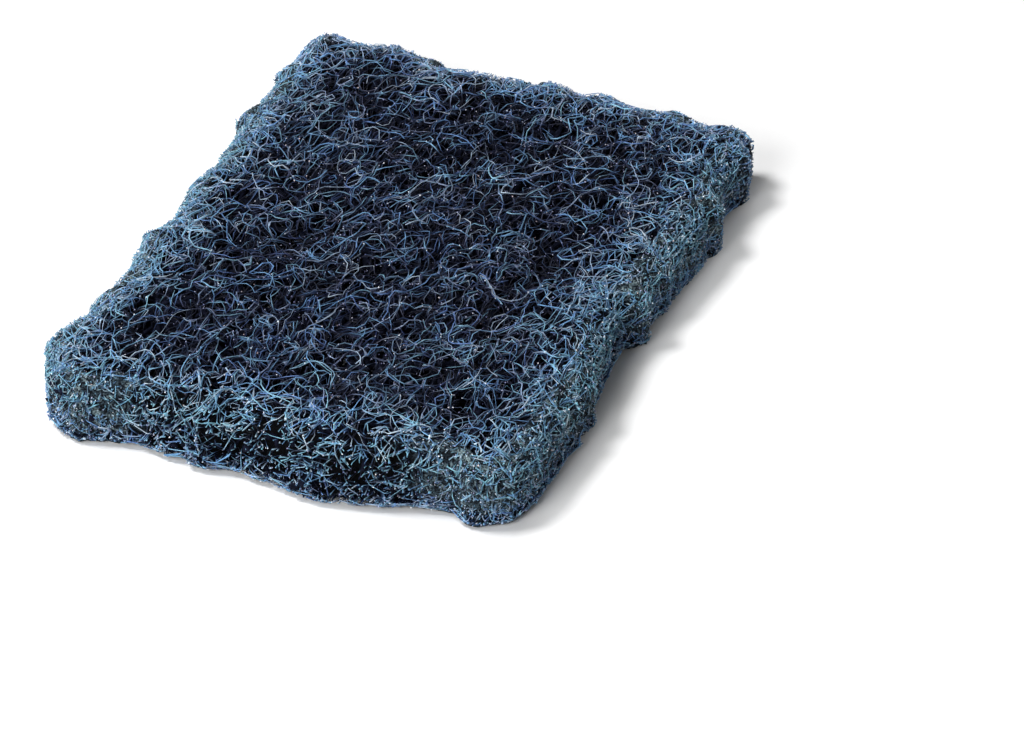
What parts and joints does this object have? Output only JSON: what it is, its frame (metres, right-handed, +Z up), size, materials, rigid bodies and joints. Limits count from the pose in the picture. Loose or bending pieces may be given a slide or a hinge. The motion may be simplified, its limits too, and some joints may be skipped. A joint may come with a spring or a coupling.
{
  "type": "scouring pad",
  "caption": "Thick rectangular scouring pad of coarse curled fibre, an open bonded web with rough wavy cut edges, for scrubbing pans and grills.",
  "frame": {"origin": "centre of the pad's outline, on the flat underside", "axes": "+X across the short side, +Y along the long side, +Z up through the thickness"},
  "size_m": [0.1054, 0.1486, 0.017],
  "materials": {
    "fibre": "coarse dark blue bonded fibre, resin coated and slightly glossy"
  },
  "bodies": {
    "root": {"scouring_pad": "fibre"}
  },
  "joints": []
}
